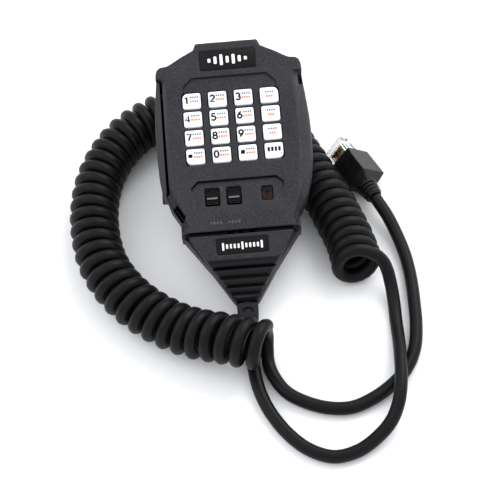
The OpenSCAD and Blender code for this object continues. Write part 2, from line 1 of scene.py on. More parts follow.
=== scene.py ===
"""Looks of the hand microphone: camera, cord, moulded pieces, materials, light.

Shapes are written in millimetres, most of them in the microphone's own frame, whose parting plane is z = 0
and whose face looks along +Z. MIC and PLUG move them to their places on the table, and the meshes that
Blender keeps are in metres.
"""
import math

import bmesh
import bpy
from mathutils import Matrix, Vector


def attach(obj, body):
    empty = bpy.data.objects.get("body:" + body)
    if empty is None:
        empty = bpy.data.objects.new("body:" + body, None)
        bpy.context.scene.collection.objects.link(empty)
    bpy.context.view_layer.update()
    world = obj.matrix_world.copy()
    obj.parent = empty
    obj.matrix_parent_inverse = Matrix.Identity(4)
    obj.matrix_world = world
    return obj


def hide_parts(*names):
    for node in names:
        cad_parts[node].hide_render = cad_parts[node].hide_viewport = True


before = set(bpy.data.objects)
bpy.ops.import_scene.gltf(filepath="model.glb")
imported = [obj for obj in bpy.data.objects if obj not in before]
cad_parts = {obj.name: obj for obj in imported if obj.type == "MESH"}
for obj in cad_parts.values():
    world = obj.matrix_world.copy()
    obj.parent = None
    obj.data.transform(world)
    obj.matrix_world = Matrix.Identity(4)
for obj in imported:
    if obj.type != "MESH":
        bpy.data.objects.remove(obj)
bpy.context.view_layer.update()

# ---------------------------------------------------------------- places, as in part.scad
PITCH = math.radians(18)
RELIEF_END_Y = -64
RELIEF_T = 8
BUTTON_TIP_Y = 60.7
TOP_BUTTON_Z = 5
MIC_Z = RELIEF_T / 2 * math.cos(PITCH) - RELIEF_END_Y * math.sin(PITCH)
MIC_Y = (-(BUTTON_TIP_Y + RELIEF_END_Y) * math.cos(PITCH)
         + (RELIEF_T / 2 + TOP_BUTTON_Z - 1.7) * math.sin(PITCH)) / 2
MIC = Matrix.Translation((0, MIC_Y, MIC_Z)) @ Matrix.Rotation(PITCH, 4, "X")
PLUG_AT = Vector((55.9, 3.4, 7.65))
PLUG_TURN = math.radians(26)
PLUG_ROLL = math.radians(45)
PLUG = Matrix.Translation(PLUG_AT) @ Matrix.Rotation(PLUG_TURN, 4, "Z") @ Matrix.Rotation(-PLUG_ROLL, 4, "Y")
CORD_D = 5.4
COLLAR_L = 7
HOOD_L = 17
PLUG_OUT = 8
TO_METRES = Matrix.Scale(0.001, 4)


def link(name, data):
    """A new object in the scene."""
    piece = bpy.data.objects.new(name, data)
    bpy.context.scene.collection.objects.link(piece)
    return piece


# ---------------------------------------------------------------- camera
CAMERA_TARGET = Vector((0.0032, -0.0158, 0))
CAMERA_DISTANCE = 0.620
CAMERA_ELEVATION = math.radians(56)
CAMERA_ROLL = math.radians(4.8)
CAMERA_LENS = 102.67


def add_camera():
    back = Vector((0, -math.cos(CAMERA_ELEVATION), math.sin(CAMERA_ELEVATION)))
    level = Vector((1, 0, 0))
    right = level * math.cos(CAMERA_ROLL) - back.cross(level) * math.sin(CAMERA_ROLL)
    turn = Matrix((right, back.cross(right), back)).transposed().to_4x4()
    data = bpy.data.cameras.new("camera")
    data.lens = CAMERA_LENS
    data.sensor_width = 36
    camera = link("camera", data)
    camera.matrix_world = Matrix.Translation(CAMERA_TARGET + back * CAMERA_DISTANCE) @ turn
    bpy.context.scene.camera = camera


add_camera()


# ---------------------------------------------------------------- cord
MIC_LEAD = [
    (0, -61, 2.8), (0, -69, 2.7), (0.5, -80, 2.7), (2, -90, 2.7), (5.5, -100, 2.7),
    (11.5, -110, 2.7), (19.5, -118, 2.7), (29, -122, 2.7), (38.5, -120.5, 2.9),
    (46.5, -116, 4), (53, -110, 5.8), (57, -102, 8), (59, -92, 8.8), (60, -82, 7.2),
    (60.6, -73, 4.4), (60.8, -64, 2.8), (61, -57, 3), (60.9, -51, 4.3), (60.4, -46, 6.6),
    (59.4, -41.8, 9.8), (57.3, -39.2, 13.6),
]
COIL = [
    (47.4, -40.4, 11.1), (45.6, -27.5, 10.7), (42, -15, 10.7), (38, -3, 10.7), (33, 9, 10.7),
    (27.6, 21.5, 10.7), (22, 34, 10.7), (13.5, 45, 10.7), (2, 52.5, 10.7), (-11, 55, 10.7),
    (-24, 52.5, 10.7), (-37, 47, 10.7), (-48, 38.5, 10.7), (-56, 27, 10.7), (-61, 14, 10.7),
    (-63, 0, 10.7), (-62.5, -14, 10.7), (-59.5, -28, 10.7), (-53.5, -40, 10.7),
    (-45, -50.5, 10.7), (-34, -59.5, 10.7), (-23, -66, 11.8), (-12, -71, 14.6),
    (-3, -74.8, 16.2), (5.1, -77.4, 16.8),
]
PLUG_LEAD = [
    (6.8, -69.2, 15.1), (7, -69.4, 9.8), (6.6, -72.7, 5.2), (6.6, -77.9, 2.9), (8.4, -84.5, 2.7),
    (12.6, -91.6, 2.7), (19.2, -96.6, 2.7), (28.4, -100.4, 2.7), (38, -101.2, 2.7), (47, -98, 2.7),
    (55.5, -92.5, 2.7), (62.3, -85.5, 2.7), (66.8, -76.5, 2.7), (68.8, -66, 2.7), (69.5, -55, 2.7),
    (69.7, -44, 2.7), (69, -33, 2.8), (67, -23, 3.6), (63.6, -12.5, 5.6),
]
COIL_TURNS = 54
COIL_R = 8.0
TURN_STEPS = 24
COIL_START = math.radians(48)
COIL_EXTRA = math.radians(105)
RING_MORE = 0.4
RING_MORE_OVER = 12
LEAN = math.radians(17)
LEAN_FADES_OVER = 75


def smooth_path(points, steps):
    """Catmull-Rom curve through all points but the first and the last, which only give its end directions."""
    path = []
    for i in range(1, len(points) - 2):
        a, b, c, d = points[i - 1:i + 3]
        for k in range(steps):
            t = k / steps
            path.append(0.5 * (2 * b + (c - a) * t + (2 * a - 5 * b + 4 * c - d) * t * t
                               + (3 * b - a - 3 * c + d) * t ** 3))
    path.append(points[-2])
    return path


def even_path(path, count):
    """The same curve with its points a constant distance apart."""
    along = [0.0]
    for a, b in zip(path, path[1:]):
        along.append(along[-1] + (b - a).length)
    out = []
    i = 0
    for k in range(count):
        s = along[-1] * k / (count - 1)
        while i < len(path) - 2 and along[i + 1] < s:
            i += 1
        out.append(path[i].lerp(path[i + 1], (s - along[i]) / (along[i + 1] - along[i])))
    return out, along[-1]


def turns_at(u):
    """Share of the coil's turns in the first u of its length: the turns lie closer near the right end."""
    return 1.1 * u - 0.1 * u * u


def coil_helix():
    """Centreline of the curly stretch. Near the right end its turns lean back."""
    points = [Vector(p) for p in COIL]
    ends = [2 * points[0] - points[1]] + points + [2 * points[-1] - points[-2]]
    count = COIL_TURNS * TURN_STEPS + 1
    axis, length = even_path(smooth_path(ends, 20), count)
    helix = []
    for i, centre in enumerate(axis):
        ahead = (axis[min(i + 3, count - 1)] - axis[max(i - 3, 0)]).normalized()
        side = ahead.cross(Vector((0, 0, 1))).normalized()
        up = side.cross(ahead)
        u = i / (count - 1)
        phase = COIL_START + turns_at(u) * (2 * math.pi * COIL_TURNS + COIL_EXTRA)
        lean = LEAN * max(0, 1 - u * length / LEAN_FADES_OVER) ** 1.5
        radius = COIL_R + RING_MORE * max(0, 1 - u * length / RING_MORE_OVER)
        helix.append(centre + radius * (math.cos(phase) * side
                                        + math.sin(phase) * (math.cos(lean) * up + math.sin(lean) * ahead)))
    return helix


def lead_to(start, points, helix_end):
    """Lead from a start through points into one end of the helix."""
    control = [Vector(p) for p in points]
    return smooth_path([2 * start - control[0], start] + control + helix_end, 8)


def cord_path():
    helix = coil_helix()
    exit_point = MIC @ Vector((0, RELIEF_END_Y, 0))
    first = lead_to(exit_point, MIC_LEAD, [helix[0], helix[4]])
    plug_end = PLUG @ Vector((0, -COLLAR_L - 0.2, 0))
    last = lead_to(plug_end, PLUG_LEAD[::-1], [helix[-1], helix[-5]])
    return first[:-1] + helix + last[::-1][1:]


def add_cord():
    path = cord_path()
    data = bpy.data.curves.new("cord", "CURVE")
    data.dimensions = "3D"
    data.bevel_depth = CORD_D / 2 * 0.001
    data.bevel_resolution = 6
    spline = data.splines.new("POLY")
    spline.points.add(len(path) - 1)
    for point, place in zip(spline.points, path):
        point.co = (*(place * 0.001), 1)
    spline.use_smooth = True
    length = sum((b - a).length for a, b in zip(path, path[1:])) * 0.001
    return link("cord", data), path[0] * 0.001, length


cord, cord_exit, cord_length = add_cord()


# ---------------------------------------------------------------- solids
def both_sides(half):
    """Closes a half outline by mirroring it."""
    return list(half) + [(-x, y) for x, y in reversed(half)]


def skin(rings):
    """Closed solid through rings that have the same number of points."""
    count = len(rings[0])
    points = [tuple(p) for ring in rings for p in ring]
    faces = [tuple(range(count))[::-1]]
    for r in range(len(rings) - 1):
        for k in range(count):
            a, b = r * count + k, r * count + (k + 1) % count
            faces.append((a, b, b + count, a + count))
    faces.append(tuple(range((len(rings) - 1) * count, len(rings) * count)))
    return points, faces


def loft(*slices):
    """Solid through outlines, each given with its height."""
    return skin([[(x, y, z) for x, y in outline] for outline, z in slices])


def block(x0, x1, y0, y1, z0, z1):
    outline = [(x0, y0), (x1, y0), (x1, y1), (x0, y1)]
    return loft((outline, z0), (outline, z1))


def circle(x, y, r, count=40):
    return [(x + r * math.cos(2 * math.pi * k / count), y + r * math.sin(2 * math.pi * k / count))
            for k in range(count)]


def post(x, y, r, z0, z1, r1=None):
    return loft((circle(x, y, r), z0), (circle(x, y, r if r1 is None else r1), z1))


def rounded(x, y, w, h, radii, count=6):
    """Rectangle whose corners, from the lower left round to the upper left, have these radii."""
    if not isinstance(radii, (list, tuple)):
        radii = [radii] * 4
    outline = []
    for corner, (sx, sy) in enumerate([(-1, -1), (1, -1), (1, 1), (-1, 1)]):
        r = radii[corner]
        cx, cy = x + sx * (w / 2 - r), y + sy * (h / 2 - r)
        for k in range(count + 1):
            angle = math.pi + corner * math.pi / 2 + k / count * math.pi / 2
            outline.append((cx + r * math.cos(angle), cy + r * math.sin(angle)))
    return outline


def moved(solid, matrix):
    points, faces = solid
    return [tuple(matrix @ Vector(p)) for p in points], faces


def inset(outline, d):
    """Outline moved inwards by d; it runs anticlockwise."""
    out = []
    count = len(outline)
    for i in range(count):
        a, b, c = (Vector(outline[(i + k) % count]) for k in (-1, 0, 1))
        n1 = Vector(((b - a).y, -(b - a).x)).normalized()
        n2 = Vector(((c - b).y, -(c - b).x)).normalized()
        n = (n1 + n2).normalized()
        p = b - n * d / max(0.5, n.dot(n1))
        out.append((p.x, p.y))
    return out


def to_mesh(name, solids):
    """One mesh of several closed solids, with outward faces."""
    data = bpy.data.meshes.new(name)
    points, faces = [], []
    for solid_points, solid_faces in solids:
        faces += [tuple(i + len(points) for i in face) for face in solid_faces]
        points += solid_points
    data.from_pydata(points, [], faces)
    bm = bmesh.new()
    bm.from_mesh(data)
    bmesh.ops.remove_doubles(bm, verts=bm.verts, dist=1e-5)
    bmesh.ops.recalc_face_normals(bm, faces=bm.faces)
    bm.to_mesh(data)
    bm.free()
    return data


def evaluated(piece):
    """The piece's mesh with all its modifiers applied."""
    graph = bpy.context.evaluated_depsgraph_get()
    return bpy.data.meshes.new_from_object(piece.evaluated_get(graph))


def combine(name, solids, cuts=()):
    """The union of solids, less the cuts."""
    piece = link(name, to_mesh(name, solids[:1]))
    others = []
    for kind, group in (("UNION", solids[1:]), ("DIFFERENCE", cuts)):
        for solid in group:
            other = link("cutter", to_mesh("cutter", [solid]))
            other.hide_render = True
            others.append(other)
            modifier = piece.modifiers.new("cut", "BOOLEAN")
            modifier.operation = kind
            modifier.object = other
            modifier.solver = "MANIFOLD"
    result = evaluated(piece)
    for other in others + [piece]:
        bpy.data.objects.remove(other)
    return result


def soften(name, mesh, voxel, rounds, keep):
    """Moulded look: the mesh's edges are rounded by remeshing it and relaxing it, then it is thinned out."""
    piece = link(name, mesh)
    remesh = piece.modifiers.new("remesh", "REMESH")
    remesh.mode = "VOXEL"
    remesh.voxel_size = voxel
    relax = piece.modifiers.new("relax", "SMOOTH")
    relax.factor = 0.5
    relax.iterations = rounds
    if keep < 1:
        thin = piece.modifiers.new("thin", "DECIMATE")
        thin.ratio = keep
        thin.use_collapse_triangulate = True
    result = evaluated(piece)
    bpy.data.objects.remove(piece)
    return result


def finish_piece(name, mesh, place, body, materials, nodes=(), rules=()):
    """Puts a mesh in its place, in metres, as a smooth piece that stands for CAD nodes."""
    numbers = [polygon.material_index for polygon in mesh.polygons]
    mesh.materials.clear()
    for material in materials:
        mesh.materials.append(material)
    for polygon, number in zip(mesh.polygons, numbers):
        polygon.material_index = min(number, len(materials) - 1)
    paint(mesh, rules)
    mesh.transform(TO_METRES @ place)
    mesh.name = name
    for polygon in mesh.polygons:
        polygon.use_smooth = True
    mesh.set_sharp_from_angle(angle=math.radians(50))
    piece = link(name, mesh)
    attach(piece, body)
    if nodes:
        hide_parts(*nodes)
    return piece


# ---------------------------------------------------------------- materials
def shade(name, base, roughness, **own):
    """A node material: colour that varies in soft patches, worn edges, and grain as bump.

    own may hold: dark and worn (colours), wear, speckle, patch (size in mm), grain (size in mm), bump,
    depth (in mm), specular, metallic, coat, transmission, ior, rough_spread.
    """
    material = bpy.data.materials.new(name)
    material.use_nodes = True
    nodes, links = material.node_tree.nodes, material.node_tree.links
    shader = nodes["Principled BSDF"]
    place = nodes.new("ShaderNodeTexCoord").outputs["Object"]

    def noise(size_mm, detail):
        node = nodes.new("ShaderNodeTexNoise")
        node.inputs["Scale"].default_value = 1000 / size_mm
        node.inputs["Detail"].default_value = detail
        links.new(place, node.inputs["Vector"])
        return node.outputs["Fac"]

    def ramp(value, low, high, a, b):
        node = nodes.new("ShaderNodeMapRange")
        node.inputs["From Min"].default_value = low
        node.inputs["From Max"].default_value = high
        node.inputs["To Min"].default_value = a
        node.inputs["To Max"].default_value = b
        links.new(value, node.inputs["Value"])
        return node.outputs["Result"]

    def blend_colour(amount, a, b):
        node = nodes.new("ShaderNodeMix")
        node.data_type = "RGBA"
        links.new(amount, node.inputs["Factor"])
        for socket, colour in ((node.inputs[6], a), (node.inputs[7], b)):
            if isinstance(colour, tuple):
                socket.default_value = (*colour, 1)
            else:
                links.new(colour, socket)
        return node.outputs[2]

    patches = noise(own.get("patch", 14), 3)
    grain = noise(own.get("grain", 0.45), 4)
    dark = own.get("dark", tuple(c * 0.82 for c in base))
    colour = blend_colour(ramp(patches, 0.35, 0.65, 0, 1), dark, base)
    if "worn" in own:
        edges = nodes.new("ShaderNodeNewGeometry").outputs["Pointiness"]
        colour = blend_colour(ramp(edges, 0.52, 0.62, 0, own.get("wear", 0.8)), colour, own["worn"])
    if "speckle" in own:
        colour = blend_colour(ramp(grain, 0.46, 0.66, 0, own["speckle"]), colour, own["worn"])
    links.new(colour, shader.inputs["Base Color"])
    spread = own.get("rough_spread", 0.06)
    links.new(ramp(grain, 0.3, 0.7, roughness - spread, roughness + spread), shader.inputs["Roughness"])
    bump = nodes.new("ShaderNodeBump")
    bump.inputs["Strength"].default_value = own.get("bump", 0.25)
    bump.inputs["Distance"].default_value = own.get("depth", 0.05) * 0.001
    links.new(grain, bump.inputs["Height"])
    links.new(bump.outputs["Normal"], shader.inputs["Normal"])
    shader.inputs["Metallic"].default_value = own.get("metallic", 0)
    shader.inputs["Coat Weight"].default_value = own.get("coat", 0)
    shader.inputs["Coat Roughness"].default_value = 0.25
    shader.inputs["Transmission Weight"].default_value = own.get("transmission", 0)
    shader.inputs["Specular IOR Level"].default_value = own.get("specular", 0.5)
    shader.inputs["IOR"].default_value = own.get("ior", 1.48)
    return material


HOUSING = shade("housing_plastic", (0.021, 0.02, 0.0245), 0.5, dark=(0.0155, 0.015, 0.0185), grain=0.7, bump=0.9,
                depth=0.09, worn=(0.06, 0.06, 0.068), wear=0.7, speckle=0.35, specular=0.2)
# Housing plastic painted darker as shade, on the ribbed tail and along the keypad's upper edge.
HOUSING_PAINTED_SHADE = shade("housing_painted_shade", (0.006, 0.006, 0.007), 0.45, worn=(0.03, 0.03, 0.032), grain=0.6, bump=0.4,
               specular=0.2)
REAR = shade("rear_plastic", (0.0115, 0.0115, 0.0135), 0.5, worn=(0.045, 0.045, 0.05), grain=0.7, bump=0.7, depth=0.08,
             speckle=0.2, specular=0.22)
PLATE = shade("plate_plastic", (0.005, 0.005, 0.005), 0.4, worn=(0.02, 0.02, 0.02), grain=0.3, bump=0.15,
              specular=0.12)
BAR = shade("bar_plastic", (0.016, 0.0155, 0.018), 0.45, worn=(0.07, 0.07, 0.078), grain=0.6, bump=0.6,
            speckle=0.2, specular=0.3)
# Black of the switches and the window's mask; in the housing's gaps and on the panel's upper wall it is painted shade.
BLACK = shade("black_and_painted_shade", (0.002, 0.002, 0.002), 0.35, worn=(0.008, 0.008, 0.008), grain=0.3, bump=0.1,
              specular=0.12)
SLIDER_MARK = shade("switch_mark", (0.16, 0.16, 0.165), 0.35, grain=0.3, bump=0.1, specular=0.4)
LEGEND = shade("legend_grey", (0.07, 0.07, 0.075), 0.5, grain=0.3, bump=0.1, specular=0.3)
WINDOW = shade("window_tint", (0.02, 0.008, 0.004), 0.2, grain=2, bump=0.02, specular=0.15, coat=0.05)
KEY_WHITE = shade("key_white", (0.9, 0.91, 0.92), 0.34, dark=(0.86, 0.875, 0.89), grain=0.6, bump=0.06)
# Black print of the keys, also painted on the keys' white flanges as shade in the gaps round them.
PRINT_AND_SHADE_BLACK = shade("print_black_and_flange_shade", (0.006, 0.006, 0.007), 0.5, grain=0.3, bump=0.05, specular=0.2)
PRINT_GREY = shade("print_grey", (0.16, 0.19, 0.24), 0.5, grain=0.3, bump=0.05, specular=0.2)
PRINT_ORANGE = shade("print_orange", (0.72, 0.22, 0.1), 0.5, grain=0.3, bump=0.05, specular=0.2)
PRINT_WHITE = shade("print_white", (0.88, 0.88, 0.89), 0.4, grain=0.3, bump=0.05)
MILKY = shade("milky_plastic", (0.93, 0.94, 0.93), 0.3, grain=0.8, bump=0.03, transmission=0.1)
CORD_RUBBER = shade("cord_rubber", (0.0045, 0.0043, 0.005), 0.44, dark=(0.003, 0.003, 0.0034), patch=9,
                    grain=0.35, bump=0.3, specular=0.15)
SOFT_RUBBER = shade("soft_rubber", (0.011, 0.011, 0.0125), 0.5, worn=(0.04, 0.04, 0.044), grain=0.4, bump=0.3,
                    specular=0.22)
HOOD_RUBBER = shade("hood_rubber", (0.0045, 0.0045, 0.005), 0.38, worn=(0.03, 0.03, 0.03), grain=0.4, bump=0.25,
                    specular=0.2)
CLEAR = shade("clear_plastic", (0.97, 0.98, 0.99), 0.06, dark=(0.94, 0.96, 0.98), grain=3, bump=0.02,
              rough_spread=0.02, transmission=1, ior=1.18)
GOLD = shade("contact_gold", (0.62, 0.4, 0.13), 0.3, grain=0.2, bump=0.1, metallic=1)
STEEL = shade("plated_steel", (0.55, 0.55, 0.57), 0.3, grain=0.25, bump=0.15, metallic=1)
BOARD = shade("board_green", (0.02, 0.1, 0.045), 0.35, grain=1.2, bump=0.2, coat=0.3)
CHIPS = shade("chip_black", (0.012, 0.012, 0.013), 0.55, grain=0.3, bump=0.3)
WIRE_COLOURS = {
    "green": (0.005, 0.3, 0.13), "yellow": (0.85, 0.5, 0.02), "brown": (0.24, 0.08, 0.03),
    "white": (0.8, 0.8, 0.78), "orange": (0.85, 0.24, 0.03), "red": (0.65, 0.03, 0.025),
    "grey": (0.22, 0.22, 0.24), "black": (0.012, 0.012, 0.012),
}
WIRES = {name: shade("wire_" + name, colour, 0.35, grain=0.3, bump=0.1) for name, colour in WIRE_COLOURS.items()}


# ---------------------------------------------------------------- light and floor
def add_light(name, place, aim, size, energy, colour=(1, 1, 1)):
    data = bpy.data.lights.new(name, "AREA")
    data.shape = "DISK"
    data.size = size
    data.energy = energy
    data.color = colour
    light = link(name, data)
    light.location = place
    light.rotation_euler = (Vector(aim) - Vector(place)).to_track_quat("-Z", "Y").to_euler()


def add_stage():
    size = 3.0
    data = to_mesh("floor", [block(-size, size, -size, size, -0.02, 0)])
    material = bpy.data.materials.new("floor_white")
    material.use_nodes = True
    nodes, links = material.node_tree.nodes, material.node_tree.links
    shader = nodes["Principled BSDF"]
    noise = nodes.new("ShaderNodeTexNoise")
    noise.inputs["Scale"].default_value = 4
    ramp = nodes.new("ShaderNodeMapRange")
    ramp.inputs["To Min"].default_value = 0.93
    ramp.inputs["To Max"].default_value = 0.96
    links.new(noise.outputs["Fac"], ramp.inputs["Value"])
    links.new(ramp.outputs["Result"], shader.inputs["Base Color"])
    shader.inputs["Roughness"].default_value = 0.7
    data.materials.append(material)
    floor = link("floor", data)
    world = bpy.data.worlds.new("world")
    bpy.context.scene.world = world
    world.use_nodes = True
    world.node_tree.nodes["Background"].inputs["Color"].default_value = (0.95, 0.97, 1, 1)
    world.node_tree.nodes["Background"].inputs["Strength"].default_value = 1.12
    add_light("key_light", (0.55, 0.55, 0.8), (0, 0, 0), 0.9, 8)
    add_light("fill_light", (-0.7, 0.1, 0.8), (0, 0, 0), 0.9, 3)
    bpy.context.scene.view_settings.view_transform = "Standard"


add_stage()

# ---------------------------------------------------------------- front cover
FRONT_T = 15
GROOVE_Y = -28.8
KEY_DX, KEY_DY = 11, 8.35
KEY_W, KEY_H = 7.7, 6.8
KEY_COLUMNS = [(c - 1.5) * KEY_DX for c in range(4)]
KEY_ROWS = [30.1 - r * KEY_DY for r in range(4)]
PANEL_Y = -13.2
SLIDERS = {"left_slider": -10.9, "middle_slider": -1.8}
SLIDER_W, SLIDER_H, SLIDER_TRAVEL = 5.8, 4.6, 2
WINDOW_X = 12.1
SIDE = [(25, -21), (28.8, -14.5), (31.7, -5), (32.8, 2), (33.2, 12), (33, 22), (32.2, 32), (31.6, 38),
        (31.2, 44), (30.6, 45.8), (29.2, 46.9), (26.2, 47.3), (24.6, 48.1), (20.5, 50.6), (14.5, 53.7),
        (13.6, 56.1), (13.1, 56.6)]
STRIP = [(-26, 21.4, 23.8), (-21, 22.8, 25), (-14.5, 25, 28.8), (-5, 26.7, 31.7), (2, 27.3, 32.8),
         (12, 27.8, 33.2), (22, 27.8, 33), (32, 27.5, 32.2), (37, 27.3, 31.7), (40.6, 27.2, 31.4)]
TAIL = [(5, -56.4), (13.9, -42.5), (24.8, -27.5), (25, -20.6)]
CHIN = [(4.4, -56.2), (15.5, -39.8), (21.9, -29.4), (22.6, -20.6)]
WIDE_ROOM = [(6, -47), (11, -43), (22, -27.5), (22.6, -20), (25, -11), (26.4, 0), (26.4, 41), (23, 44.6),
             (12.5, 50.5), (11.5, 54)]
CHIN_ROOM = [(13, -36), (20, -27.5), (20.6, -23)]
FACE_ROOM = [(20.6, -24), (20.8, -18), (24, -4), (26, 14), (25.2, 36), (13.5, 44.5), (12, 46)]


STRAP = Matrix.Translation((-24.9, -18.4, 4)) @ Matrix.Rotation(math.radians(30), 4, "Z")


def wedge(half, top_y, bottom_y, depth):
    """Cut that is deepest at top_y and runs out at bottom_y."""
    outline = both_sides(half)
    floor = [(x, y, FRONT_T - max(0.02, depth * (y - bottom_y) / (top_y - bottom_y))) for x, y in outline]
    return skin([floor, [(x, y, FRONT_T + 3) for x, y in outline]])


def side_strip(side):
    """Cut that leaves the lower, sloping strip between the face and one side."""
    rings = []
    for y, face_x, side_x in STRIP:
        profile = [(face_x, 18), (face_x, 14.5), (face_x + 0.5, 14.1), (side_x - 2.2, 11.4), (side_x - 0.7, 9.6),
                   (side_x + 0.1, 7.6), (side_x + 3, 7.6), (side_x + 3, 18)]
        rings.append([(side * x, y, z) for x, z in profile])
    return skin(rings)


def chin_slope():
    """Cuts that lean the chin and, more steeply, the ribbed part back from the face."""
    cuts = []
    for y, z, lean in ((GROOVE_Y, FRONT_T - 0.7, 9), (-40, FRONT_T - 4.4, 24)):
        matrix = Matrix.Translation((0, y, z)) @ Matrix.Rotation(math.radians(lean), 4, "X")
        cuts.append(moved(block(-60, 60, -80, 0, 0, 40), matrix))
    return cuts


def rib_z(y):
    return FRONT_T - 2.9 - (-40 - y) * math.tan(math.radians(24))


RIBS = [(-41.75, 1.1), (-45.1, 1.5), (-48.7, 1.4), (-51.9, 1.25), (-54.8, 1.15)]
RIB_PROFILE = [(-1, -2.6), (-1, -0.1), (-0.82, 0.5), (-0.5, 0.72), (0.4, 0.72), (0.8, 0.4), (1, -0.2), (1, -2.6)]


def ribs():
    """Rounded bars across the tail, each as wide as the V is there."""
    out = []
    for y, half_height in RIBS:
        rings = []
        for sign in (-1, 1):
            ring = []
            for dy, dz in RIB_PROFILE:
                yy = y + dy * half_height
                half = 4.3 + (yy + 56.4) * 0.676
                ring.append((sign * (half - 0.3), yy, rib_z(yy) + dz - 0.4))
            rings.append(ring)
        out.append(skin(rings))
    return out


def front_cover():
    full = both_sides(SIDE)
    bodies = [
        loft((full, 0), (full, 13.9), (inset(full, 0.35), 14.7), (inset(full, 1.0), FRONT_T)),
        loft((both_sides([(25, -28.6), (25, -20.5)]), 0), (both_sides([(25, -28.6), (25, -20.5)]), 8.5),
             (both_sides([(22.3, -28.6), (22.9, -20.5)]), FRONT_T)),
    ]
    tail = combine("tail", [loft((both_sides(TAIL), 0), (both_sides(TAIL), 10))],
                   [moved(block(-60, 60, -80, 80, 0, 40), Matrix.Translation((0, -56.4, 4.4))
                          @ Matrix.Rotation(math.radians(10), 4, "X"))])
    chin = combine("chin", [loft((both_sides(CHIN), 0), (both_sides(CHIN), FRONT_T))], chin_slope())
    wells = [loft((rounded(x, y, KEY_W + 1, KEY_H + 1, 1.6), 12), (rounded(x, y, KEY_W + 1, KEY_H + 1, 1.6), 18))
             for x in KEY_COLUMNS for y in KEY_ROWS]
    slots = [block(x - 3.15, x + 3.15, PANEL_Y - 3.9, PANEL_Y + 4, 12, 18) for x in SLIDERS.values()]
    window = block(WINDOW_X - 2.4, WINDOW_X + 2.4, PANEL_Y - 3, PANEL_Y + 3, 12, 18)
    plate = loft((rounded(0, 48, 24.4, 9.4, 0.9), FRONT_T - 0.8), (rounded(0, 48, 24.4, 9.4, 0.9), 18))
    keypad = wedge([(19.4, 0.6), (19.8, 36.4), (16, 40.4)], 40.4, 0.6, 1)
    panel = wedge([(18.6, -20.4), (19.2, -8.8), (16.4, -6.2)], -6.2, -20.4, 1.3)
    groove = block(-30, 30, GROOVE_Y - 0.75, GROOVE_Y + 0.75, FRONT_T - 2.6, 18)
    chin_plate = moved(loft((rounded(0, 0, 21.9, 6.9, 0.7), 1.2), (rounded(0, 0, 21.9, 6.9, 0.7), 5)),
                       Matrix.Translation((0, -34.3, 11.4)) @ Matrix.Rotation(math.radians(9), 4, "X"))
    rim_gaps = [skin([[(s * (x + 0.1), y, z), (s * (x + 0.75), y, z), (s * (x + 0.75), y, 18), (s * (x + 0.1), y, 18)]
                      for x, y, z in ((4.5, -55.6, 2.5), (15.5, -39.8, 7.6), (21.9, -29.6, 8.6))])
                for s in (-1, 1)]
    pocket = block(-38, -28.68, -9.3, 41.3, -4, 24)
    bore = [moved(post(0, 0, RELIEF_T / 2 + 0.2, 0, 14), Matrix.Translation((0, RELIEF_END_Y, 0))
                  @ Matrix.Rotation(math.radians(-90), 4, "X")),
            moved(post(0, 0, CORD_D / 2 + 0.1, 0, 22.4), Matrix.Translation((0, RELIEF_END_Y, 0))
                  @ Matrix.Rotation(math.radians(-90), 4, "X"))]
    crown = [block(x - 4.6, x + 4.6, 53, 63, TOP_BUTTON_Z - 2.8, TOP_BUTTON_Z + 2.8) for x in (-6, 6)]
    rooms = [loft((both_sides(WIDE_ROOM), -0.01), (both_sides(WIDE_ROOM), 8)),
             loft((both_sides(CHIN_ROOM), 7.9), (both_sides(CHIN_ROOM), 11.2)),
             loft((both_sides(FACE_ROOM), 7.8), (both_sides(FACE_ROOM), 12.9))]
    sound = [block(x - 1.2, x + 1.2, GROOVE_Y - 0.5, GROOVE_Y + 0.5, 8, 16) for x in (-4.5, 0, 4.5)]
    strap = [moved(block(x0, x1, -3.6, 3.6, z0, 20), STRAP)
             for x0, x1, z0 in ((-1.05, -0.4, -2), (0.4, 1.05, -2), (-0.5, 0.5, 5))]
    lanyard = [loft((rounded(30.2, 37.9, 1.6, 5, 0.78), -20), (rounded(30.2, 37.9, 1.6, 5, 0.78), 20))]
    shell = link("shell", combine("shell", bodies + ribs()))
    shell_parts = [shell, link("tail", tail), link("chin", chin)]
    cuts = (wells + slots + [window, plate, keypad, panel, groove, chin_plate, pocket] + rim_gaps + bore + crown
            + rooms + sound + strap + lanyard + [side_strip(1), side_strip(-1)])
    return merge_and_cut("front_cover", shell_parts, cuts)


def merge_and_cut(name, pieces, cuts):
    """Union of pieces, which are used up, less the cuts."""
    first = pieces[0]
    others = []
    for other in pieces[1:]:
        modifier = first.modifiers.new("join", "BOOLEAN")
        modifier.operation = "UNION"
        modifier.object = other
        modifier.solver = "MANIFOLD"
        others.append(other)
    for solid in cuts:
        other = link("cutter", to_mesh("cutter", [solid]))
        modifier = first.modifiers.new("cut", "BOOLEAN")
        modifier.operation = "DIFFERENCE"
        modifier.object = other
        modifier.solver = "MANIFOLD"
        others.append(other)
    result = evaluated(first)
    for other in others + [first]:
        bpy.data.objects.remove(other)
    return result



def paint(mesh, rules):
    """Gives the faces that a rule holds for that rule's material number. The mesh is still in millimetres."""
    for polygon in mesh.polygons:
        for index, rule in rules:
            if rule(polygon.center, polygon.normal):
                polygon.material_index = index


# The ribbed part of the tail; its faces are painted darker as shade.
def in_rib_field(p, _):
    return p.y < -39.9 and abs(p.x) < 4.1 + (p.y + 56.4) * 0.676 and p.z > 3


